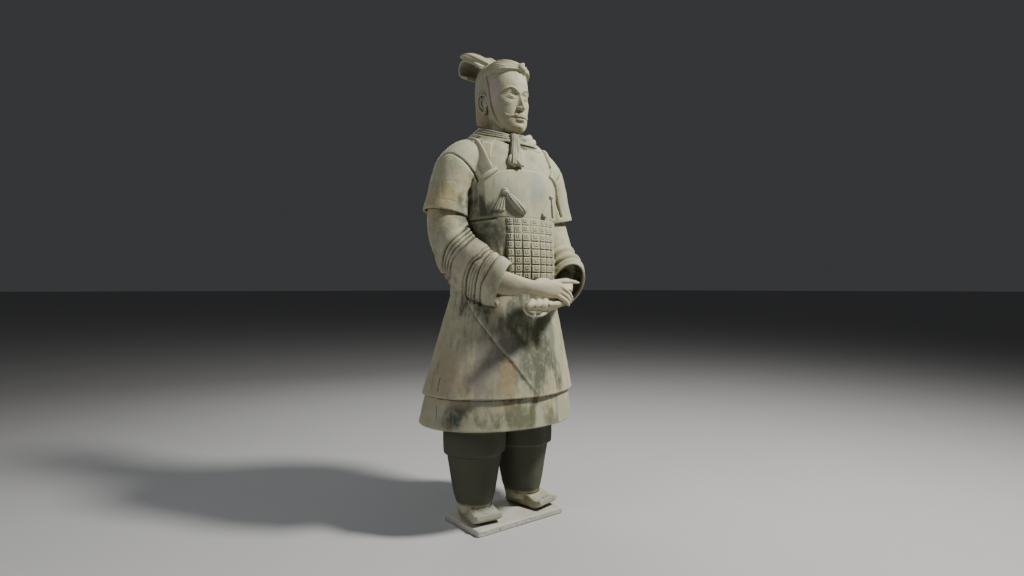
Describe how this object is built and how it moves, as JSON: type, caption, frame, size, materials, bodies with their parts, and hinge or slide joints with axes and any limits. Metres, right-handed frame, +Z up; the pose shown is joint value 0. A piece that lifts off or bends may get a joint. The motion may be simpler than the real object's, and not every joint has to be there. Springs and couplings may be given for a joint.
{
  "type": "terracotta warrior statue",
  "caption": "Life-size fired-clay figure of an armoured officer in a long robe and tailed cap, standing with crossed hands on a thin foot plate.",
  "frame": {"origin": "centre of the foot plate's underside, on the floor it stands on", "axes": "+Z up along the figure's height, -Y the way the figure faces, +X towards the figure's own left"},
  "size_m": [0.7196, 0.6184, 1.9646],
  "materials": {
    "plate_clay": "matt, chalky pale clay with worn edges",
    "body_clay": "matt grey-green fired clay with mottled ochre and dark staining",
    "head_clay": "matt grey-beige fired clay, smoothed, with faint pink traces",
    "hand_clay": "matt pale cream fired clay, smoothed"
  },
  "bodies": {
    "root": {"foot_plate": "plate_clay", "body": "body_clay", "head": "head_clay", "right_hand": "hand_clay", "left_hand": "hand_clay"}
  },
  "joints": []
}
